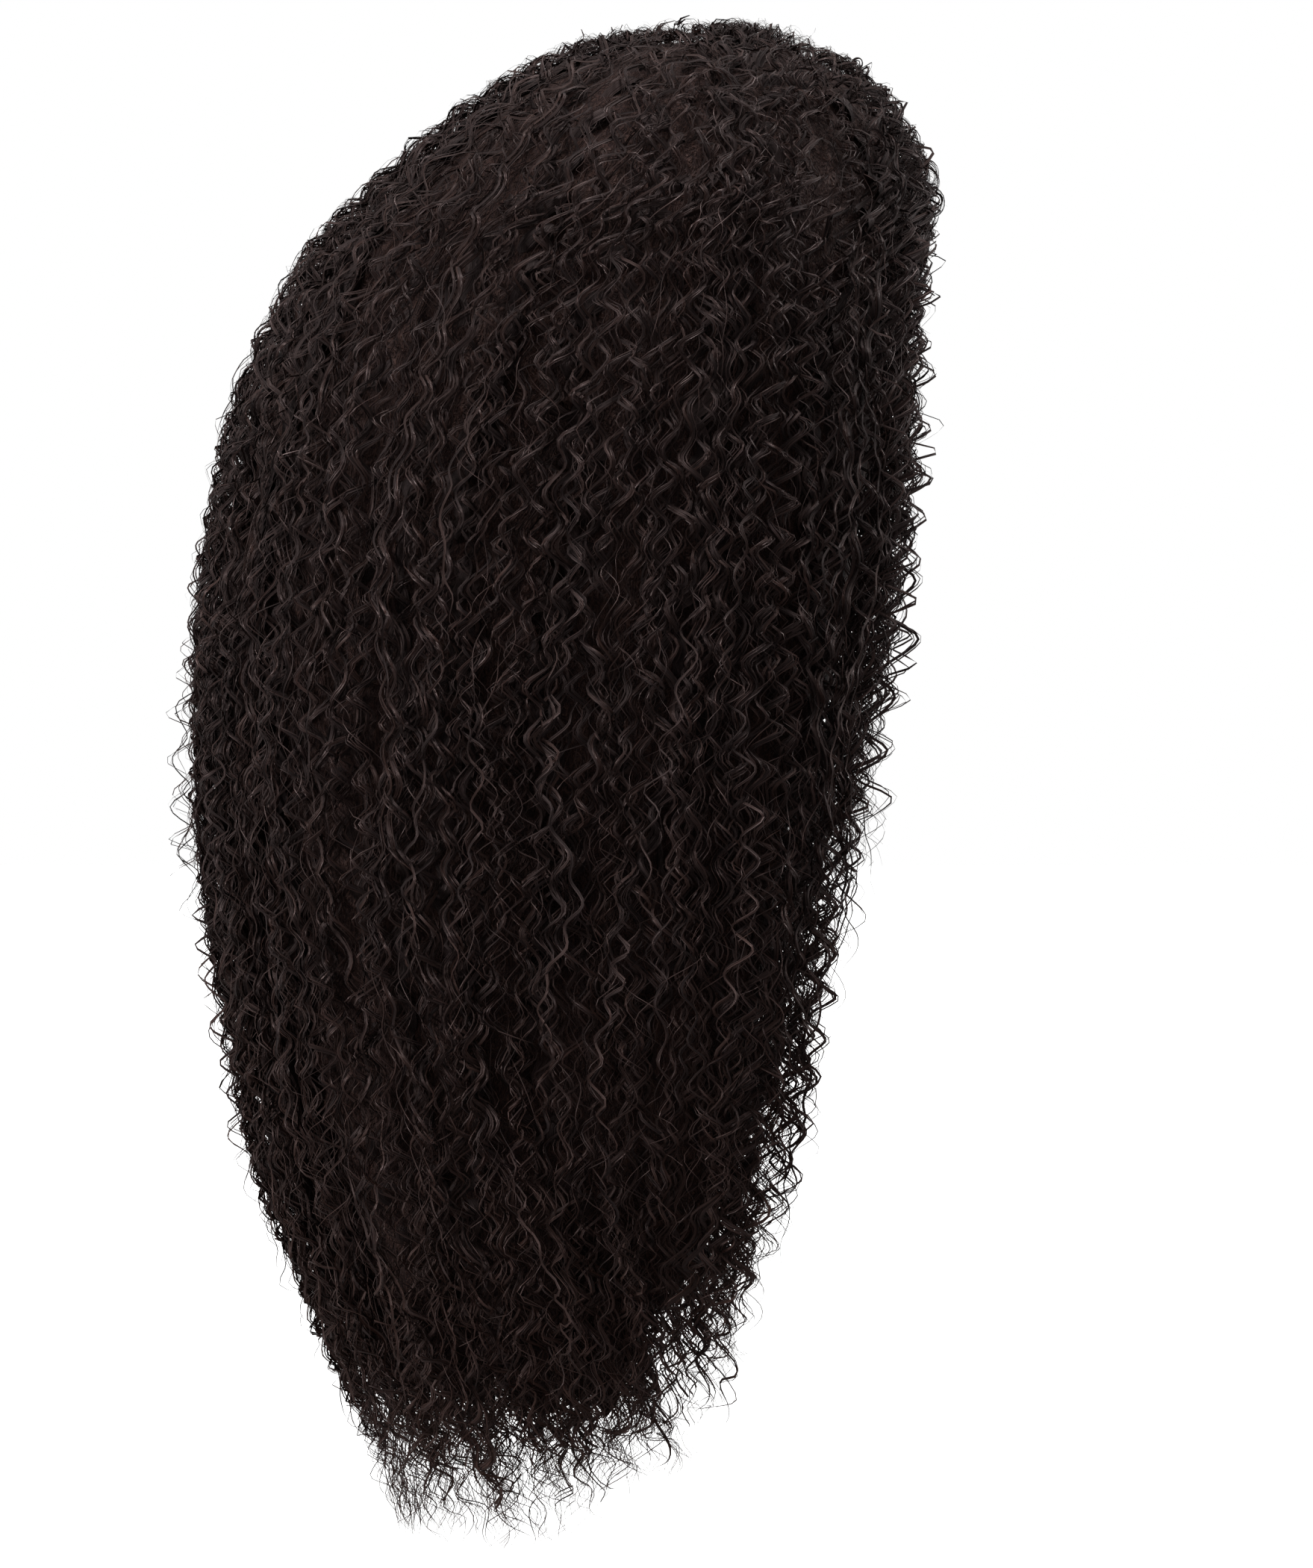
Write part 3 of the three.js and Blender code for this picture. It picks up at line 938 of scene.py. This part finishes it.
def net_finish(finish):
    """Stretch net: small cells with raised threads, and rows of stitching up the cap."""
    shader = Shader("cap_net")
    place = shader.object_place()
    settings = {"feature": "DISTANCE_TO_EDGE"}
    cells = shader.value(shader.node("ShaderNodeTexVoronoi", settings, {"Vector": place, "Scale": 620.0}))
    thread = (1 - cells * 5.5).within()
    _, _, height = shader.apart(place)
    row = ((height * (TURN / STITCH_ROW)).sine() * 3 - 1.8).within()
    wear = shader.noise(place, 45.0, 2.0, flat=False)
    raised = thread * 0.6 + row
    amount = (raised * 0.6 + wear * 0.3).within()
    return shader.finish(
        Base_Color=shader.mixed(amount, (0.006, 0.005, 0.005, 1), opaque(finish.net)),
        Roughness=0.75 + wear * 0.2,
        Normal=shader.bump(raised, 0.5 * MM, 0.8),
    )


def tape_finish(finish):
    """Woven elastic tape: fine ribs across its width and a soft sheen."""
    shader = Shader("band_tape")
    place = shader.object_place()
    x, y, z = shader.apart(place)
    rib = (z * (TURN / TAPE_RIB)).sine() * 0.5 + 0.5
    weave = ((x + y) * (TURN / TAPE_WEAVE)).sine() * 0.5 + 0.5
    wear = shader.noise(place, 90.0, 2.0, flat=False)
    raised = rib * 0.7 + weave * 0.3
    amount = (raised * 0.6 + wear * 0.4).within()
    return shader.finish(
        Base_Color=shader.mixed(amount, (0.004, 0.0035, 0.0035, 1), opaque(finish.tape)),
        Roughness=0.5 + wear * 0.25,
        Normal=shader.bump(raised, 0.25 * MM, 0.7),
    )


def comb_finish(finish):
    """Moulded dark plastic with a faint cloud in its colour and fine scuffs in its gloss."""
    shader = Shader("comb_plastic")
    place = shader.object_place()
    cloud = shader.noise(place, 140.0, 3.0, flat=False)
    scuff = shader.noise(place, 1400.0, 2.0, flat=False)
    return shader.finish(
        Base_Color=shader.mixed(cloud, (0.012, 0.008, 0.007, 1), opaque(finish.comb)),
        Roughness=0.22 + scuff * 0.25,
        Normal=shader.bump(scuff, 0.03 * MM, 0.5),
    )


def floor_finish(stage):
    """Pale matt floor with a barely seen cloud."""
    shader = Shader("pale_floor")
    cloud = shader.noise(shader.object_place(), 1.5, 2.0, flat=False)
    shade = tuple(stage.floor_colour)
    colour = shader.mixed(cloud, opaque(0.98 * part for part in shade), opaque(shade))
    return shader.finish(Base_Color=colour, Roughness=0.9, Specular_IOR_Level=0.0)


class WigHairSettings(bpy.types.PropertyGroup):
    """Sizes of the curls."""

    curl_pitch: bpy.props.FloatProperty(
        name="Curl pitch", description="Length of one wave of a lock", default=17 * MM, unit="LENGTH"
    )
    curl_radius: bpy.props.FloatProperty(
        name="Curl radius", description="How far a lock winds to each side", default=3.1 * MM, unit="LENGTH"
    )
    lock_width: bpy.props.FloatProperty(
        name="Lock width", description="Width of a lock of curls", default=6.2 * MM, unit="LENGTH"
    )
    fibre_width: bpy.props.FloatProperty(
        name="Fibre width", description="Width of a fine bundle of fibres", default=0.95 * MM, unit="LENGTH"
    )
    lock_count: bpy.props.IntProperty(name="Locks", description="Locks on the outside", default=208)
    fibres_each: bpy.props.IntProperty(name="Fibres", description="Ribbons in each lock", default=8)
    lining_count: bpy.props.IntProperty(name="Lining locks", description="Locks in the hollow", default=60)
    edge_count: bpy.props.IntProperty(name="Edge locks", description="Locks by the face opening", default=84)
    free_count: bpy.props.IntProperty(name="Free locks", description="Thin locks off the rest", default=110)
    loose_count: bpy.props.IntProperty(name="Loose hairs", description="Stray hairs outside", default=4000)
    under_count: bpy.props.IntProperty(name="Under locks", description="Broad locks underneath", default=24)
    fringe_count: bpy.props.IntProperty(name="Fringe", description="Clumps below the core", default=230)
    ringlet_count: bpy.props.IntProperty(name="Ringlets", description="Loops off the crown", default=60)
    curl_count: bpy.props.IntProperty(name="Crown curls", description="Short curls on the crown", default=330)
    tip_count: bpy.props.IntProperty(name="Tip locks", description="Thinning ends of the hair", default=185)
    seed: bpy.props.IntProperty(name="Seed", description="Start of the random numbers", default=7)


class WigFinishSettings(bpy.types.PropertyGroup):
    """Colours of the fibre, the cap and the combs."""

    deep: bpy.props.FloatVectorProperty(
        name="Deep", description="Darkest fibre", subtype="COLOR", default=(0.0048, 0.0031, 0.003)
    )
    body: bpy.props.FloatVectorProperty(
        name="Body", description="Main fibre", subtype="COLOR", default=(0.0138, 0.0073, 0.0067)
    )
    # Warm fibre: random warm patches, and towards the thin tips a painted glow of light through the hair.
    warm: bpy.props.FloatVectorProperty(
        name="Warm", description="Fibre where hair thins", subtype="COLOR", default=(0.034, 0.0152, 0.0108)
    )
    stray: bpy.props.FloatVectorProperty(
        name="Stray", description="Stray hairs", subtype="COLOR", default=(0.034, 0.0205, 0.0185)
    )
    net: bpy.props.FloatVectorProperty(
        name="Net", description="Threads of the cap", subtype="COLOR", default=(0.035, 0.027, 0.025)
    )
    tape: bpy.props.FloatVectorProperty(
        name="Tape", description="Ribs of the band", subtype="COLOR", default=(0.02, 0.016, 0.016)
    )
    comb: bpy.props.FloatVectorProperty(
        name="Comb", description="Plastic of the combs", subtype="COLOR", default=(0.05, 0.027, 0.019)
    )


class WigStageSettings(bpy.types.PropertyGroup):
    """Floor, light and camera."""

    camera_distance: bpy.props.FloatProperty(
        name="Camera distance", description="From the wig's axis to the camera", default=2.6, unit="LENGTH"
    )
    picture_height: bpy.props.FloatProperty(
        name="Picture height", description="Height that the picture takes in", default=0.5985, unit="LENGTH"
    )
    floor_drop: bpy.props.FloatProperty(
        name="Floor drop", description="Floor below the lowest tips", default=0.12, unit="LENGTH"
    )
    floor_colour: bpy.props.FloatVectorProperty(
        name="Floor", description="Colour of the floor", subtype="COLOR", default=(0.92, 0.92, 0.92)
    )
    key_light: bpy.props.FloatProperty(name="Key light", description="Light from above", default=3.0)
    fill_light: bpy.props.FloatProperty(name="Fill light", description="Light from the front", default=1.3)
    back_light: bpy.props.FloatProperty(name="Back light", description="Light from behind", default=2.2)
    room_light: bpy.props.FloatProperty(name="Room light", description="Light from all around", default=0.4)


# In millimetres: how deep the core lies under the outer form, how much less at the crown, the height of its
# ripples and the thickness of its wall.
CORE_DEEP = 12
CORE_RISE = 6
CORE_RIPPLE = 1.2
CORE_WALL = 7


class WIG_OT_core(bpy.types.Operator):
    """Dark inner mass of the hair, which the locks lie on"""

    bl_idname = "wig.core"
    bl_label = "Hair core"

    def execute(self, context):
        """The outer wall is the outer form moved in by part of the hair's depth, waved by a sine across the
        share. The inner wall is the dome grown a little down to the cap edge, then the hollow moved out."""
        shares = np.linspace(-1, 1, 111)[:, None]
        way = np.linspace(0, 1, 60)[None, :]
        hairline = length_at(FORM[HAIRLINE_ROW, 0])
        first = np.searchsorted(way[0], 0.3)
        top = way[0, first]
        ragged = 6 * MM * np.sin(shares * 61) + 5 * MM * np.sin(shares * 143 + 1)
        brow = length_at(np.interp(np.abs(shares), (0.66, 0.82, 1), (-0.54, -0.34, -0.15)))
        hem = length_at(-0.478 - 0.012 * np.abs(shares))
        bottom = np.minimum(np.minimum(longest(shares * 1.22), brow), hem) + ragged
        lower = (way - top) / (1 - top)
        lengths = np.where(way < top, way / top * hairline, hairline + lower * (bottom - hairline))
        held = shares * (1 - 0.14 * shares**4 * smoothstep(0.01, 0.06, -height_at(lengths)))
        point, out, _ = outside(held, lengths)
        wave = np.sin(shares * 150 + 5 * np.sin(lengths * 60 + shares * 9))
        crown = 1 - smoothstep(-0.02, 0.06, -point[..., 2])
        rim = smoothstep(0.7, 0.95, np.abs(shares))
        room = (0.6 + 0.28 * rim) * np.maximum(room_at(point), 2 * MM)
        ripple = CORE_RIPPLE * MM * wave * (1 - rim) * (1 - crown)
        depth = np.minimum((CORE_DEEP - CORE_RISE * crown) * MM, room) + ripple
        outer = point - out * depth[..., None]
        spoke = shares * math.pi
        over_dome = on_dome(spoke, edge_polar(spoke) * np.minimum(lengths / hairline, 1), 4 * MM)
        edge = cap_edge(shares, 0.0)[..., 2]
        fall = (edge - height_at(bottom)) / (edge - FORM[HEM_ROW, 0])
        down = on_hollow(held, np.maximum(lower, 0) * fall)
        thick = CORE_WALL * MM * (1 - 0.7 * rim * (1 - smoothstep(0.05, 0.12, -down[..., 2])))
        down = down + unit(down * (1, 1, 0)) * thick[..., None]
        inner = np.where((way > top)[..., None], down, over_dome)
        inner = inner + (outer - inner) * 0.96 * smoothstep(0.85, 1, way)[..., None]
        for wall in (outer, inner):
            wall[:, 0] = wall[:, 0].mean(0)
            wall[[0, -1], : first + 1, 0] = 0
        loop = np.concatenate((outer, inner[:, ::-1]), 1)
        shape = loop.shape[:2]
        number = np.arange(math.prod(shape)).reshape(shape)
        walls = np.stack((number[:-1, :-1], number[1:, :-1], number[1:, 1:], number[:-1, 1:]), -1)
        low, high = number[:, first : way.size], number[:, ::-1][:, first : way.size]
        near = np.stack((low[0, :-1], low[0, 1:], high[0, 1:], high[0, :-1]), -1)
        distant = np.stack((low[-1, :-1], high[-1, :-1], high[-1, 1:], low[-1, 1:]), -1)
        quads = np.concatenate((walls.reshape(-1, 4), near, distant))
        sheets = Sheets()
        sheets.add(loop, quads, OFBake=spread_over(shape, shares * 0.49 + 0.5, np.linspace(0, 1, shape[1])))
        core = sheets.piece("hair_core", core_finish(context.scene.wig_finish))
        weld(core.data)
        return {"FINISHED"}


class WIG_OT_locks(bpy.types.Operator):
    """Locks of curls over the outside, with the fine fibres that follow each of them"""

    bl_idname = "wig.locks"
    bl_label = "Locks"

    def execute(self, context):
        hair, finish = context.scene.wig_hair, context.scene.wig_finish
        rng = np.random.default_rng(hair.seed)
        fine = fibre_finish("fine_fibre", finish, finish.body, 1.0)
        # Broad locks underneath: tones painted dark as shade, with less of the painted warm glow of the tips.
        broad = fibre_finish("under_fibre", finish, finish.body, 0.3)
        under = joined(
            under_guides(Draws(rng, hair.under_count), hair),
            fringe_guides(Draws(rng, hair.fringe_count), hair),
        )
        ribbons(under, outside, hair.curl_pitch / 6, ARCHED, 1).piece("hair_under", broad)
        kinds = (
            (lock_guides, hair.lock_count, hair.fibres_each),
            (edge_guides, hair.edge_count, hair.fibres_each // 2),
            (free_guides, hair.free_count, hair.fibres_each // 3),
            (tip_guides, hair.tip_count, hair.fibres_each),
        )
        made = [fibres_of(guides(Draws(rng, count), hair), each, rng, hair) for guides, count, each in kinds]
        fibres = joined(*made)
        for side, name in ((1, "left"), (-1, "right")):
            for low, high, place in ((0, 0.36, "back"), (0.36, 0.68, "side"), (0.68, 2, "front")):
                around = fibres["share"] * side
                mine = picked(fibres, (around >= low) & (around < high))
                ribbons(mine, outside, hair.curl_pitch / 7, FLAT, 2).piece(f"hair_locks_{name}_{place}", fine)
        curls = crown_curls(Draws(rng, hair.curl_count), hair)
        curls = fibres_of(curls, hair.fibres_each // 2 + 1, rng, hair)
        ribbons(curls, outside, hair.curl_pitch / 11, FLAT, 6).piece("hair_crown", fine)
        curled = ringlets(Draws(rng, hair.ringlet_count), hair.fibres_each - 2, hair)
        ribbons(curled, outside, 0.45 * MM, FLAT, 5).piece("hair_ringlets", fine)
        return {"FINISHED"}


class WIG_OT_lining(bpy.types.Operator):
    """Locks that line the hollow inside the hair"""

    bl_idname = "wig.lining"
    bl_label = "Lining locks"

    def execute(self, context):
        hair = context.scene.wig_hair
        rng = np.random.default_rng(hair.seed + 1)
        locks = lining_guides(Draws(rng, hair.lining_count), hair)
        locks = fibres_of(locks, hair.fibres_each // 2, rng, hair)
        locks["width"] = locks["width"] * 1.6
        finish = context.scene.wig_finish
        material = fibre_finish("lining_fibre", finish, finish.body, 0.7)
        ribbons(locks, inside, hair.curl_pitch / 6, FLAT, 3).piece("hair_lining", material)
        return {"FINISHED"}


class WIG_OT_loose(bpy.types.Operator):
    """Stray hairs that stand off the curls"""

    bl_idname = "wig.loose"
    bl_label = "Loose hairs"

    def execute(self, context):
        hair = context.scene.wig_hair
        rng = np.random.default_rng(hair.seed + 2)
        strays = loose_hairs(Draws(rng, hair.loose_count), hair)
        finish = context.scene.wig_finish
        material = fibre_finish("loose_fibre", finish, finish.stray, 0.8)
        ribbons(strays, outside, 2.6 * MM, FLAT, 4).piece("hair_loose", material)
        return {"FINISHED"}


class WIG_OT_inside(bpy.types.Operator):
    """Finishes of the cap, the edge band and the combs"""

    bl_idname = "wig.inside"
    bl_label = "Cap, band and combs"

    def execute(self, context):
        finish = context.scene.wig_finish
        comb = comb_finish(finish)
        finishes = {
            "cap": net_finish(finish),
            "edge_band": tape_finish(finish),
            "front_comb": comb,
            "nape_comb": comb,
        }
        for node, material in finishes.items():
            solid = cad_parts[node]
            solid.data.materials.clear()
            solid.data.materials.append(material)
        return {"FINISHED"}


# How wide the soft lamps look, and the rings of the floor, in metres from its middle.
SUN_ANGLE = math.radians(16)
FLOOR_RINGS = (0, 0.6, 2, 5, 12, 30.0)


class WIG_OT_stage(bpy.types.Operator):
    """Pale floor, soft light and the camera"""

    bl_idname = "wig.stage"
    bl_label = "Stage"

    def execute(self, context):
        scene, stage = context.scene, context.scene.wig_stage
        angle = np.linspace(0, TURN, 65)[:-1]
        reach = np.array(FLOOR_RINGS)[:, None]
        level = CAD_LOW[2] - stage.floor_drop
        points = np.stack((reach * np.cos(angle), reach * np.sin(angle), 0 * reach * angle + level), -1)
        number = np.arange(points[..., 0].size).reshape(points.shape[:2])
        after = np.roll(number, -1, 1)
        quads = np.stack((number[:-1], number[1:], after[1:], after[:-1]), -1).reshape(-1, 4)
        mesh = bpy.data.meshes.new("pale_floor")
        mesh.from_pydata(points.reshape(-1, 3), [], quads.tolist())
        mesh.materials.append(floor_finish(stage))
        weld(mesh)
        floor = bpy.data.objects.new("pale_floor", mesh)
        scene.collection.objects.link(floor)
        floor.visible_diffuse = floor.visible_glossy = False
        floor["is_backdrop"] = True

        world = bpy.data.worlds.new("pale_room")
        world.use_nodes = True
        tree = world.node_tree
        seen = tree.nodes.new("ShaderNodeBackground")
        lighting = tree.nodes["Background"]
        lighting.inputs["Color"].default_value = (1, 1, 1, 1)
        lighting.inputs["Strength"].default_value = stage.room_light
        seen.inputs["Color"].default_value = (1, 1, 1, 1)
        mix = tree.nodes.new("ShaderNodeMixShader")
        rays = tree.nodes.new("ShaderNodeLightPath")
        tree.links.new(rays.outputs["Is Camera Ray"], mix.inputs[0])
        tree.links.new(lighting.outputs[0], mix.inputs[1])
        tree.links.new(seen.outputs[0], mix.inputs[2])
        tree.links.new(mix.outputs[0], tree.nodes["World Output"].inputs["Surface"])
        scene.world = world
        scene.view_settings.view_transform = "Standard"

        lamps = (
            ("key", (-0.15, 0.1, 1.0), stage.key_light),
            ("fill", (0.3, -0.95, 0.5), stage.fill_light),
            ("back", (-0.25, 1.0, 0.2), stage.back_light),
        )
        for name, place, strength in lamps:
            light = bpy.data.lights.new(name, "SUN")
            light.angle = SUN_ANGLE
            light.energy = strength
            lamp = bpy.data.objects.new(name, light)
            lamp.rotation_euler = look_along(-np.array(place))
            scene.collection.objects.link(lamp)

        lens = bpy.data.cameras.new("camera")
        lens.sensor_width = 36.0
        lens.lens = lens.sensor_width * stage.camera_distance / stage.picture_height
        camera = bpy.data.objects.new("camera", lens)
        scale = stage.picture_height / PICTURE[1]
        ahead, up = ((place - size / 2) * scale for place, size in zip(ORIGIN, PICTURE))
        camera.location = (-stage.camera_distance, ahead, up)
        camera.rotation_euler = look_along(np.array((1.0, 0, 0)))
        scene.collection.objects.link(camera)
        scene.camera = camera
        return {"FINISHED"}


def look_along(way):
    """Turn that points a lamp or camera, which looks down its own -Z, along a direction with +Z kept up."""
    return Vector(way).to_track_quat("-Z", "Y").to_euler()


class WIG_PT_panel(bpy.types.Panel):
    """Sizes, colours and steps of the wig"""

    bl_label = "Curly half wig"
    bl_idname = "WIG_PT_panel"
    bl_space_type = "VIEW_3D"
    bl_region_type = "UI"
    bl_category = "Wig"

    def draw(self, context):
        for group in (context.scene.wig_hair, context.scene.wig_finish, context.scene.wig_stage):
            box = self.layout.box()
            for name in group.__annotations__:
                box.prop(group, name)
        for step in OPERATORS:
            self.layout.operator(step.bl_idname)


SETTINGS = {"wig_hair": WigHairSettings, "wig_finish": WigFinishSettings, "wig_stage": WigStageSettings}
OPERATORS = (WIG_OT_core, WIG_OT_locks, WIG_OT_lining, WIG_OT_loose, WIG_OT_inside, WIG_OT_stage)


def register():
    for made in (*SETTINGS.values(), *OPERATORS, WIG_PT_panel):
        bpy.utils.register_class(made)
    for name, made in SETTINGS.items():
        setattr(bpy.types.Scene, name, bpy.props.PointerProperty(type=made))


def unregister():
    for name in SETTINGS:
        delattr(bpy.types.Scene, name)
    for made in (WIG_PT_panel, *reversed(OPERATORS), *SETTINGS.values()):
        bpy.utils.unregister_class(made)


def main():
    register()
    bpy.ops.wig.core()
    bpy.ops.wig.locks()
    bpy.ops.wig.lining()
    bpy.ops.wig.loose()
    bpy.ops.wig.inside()
    bpy.ops.wig.stage()


if __name__ == "__main__":
    main()
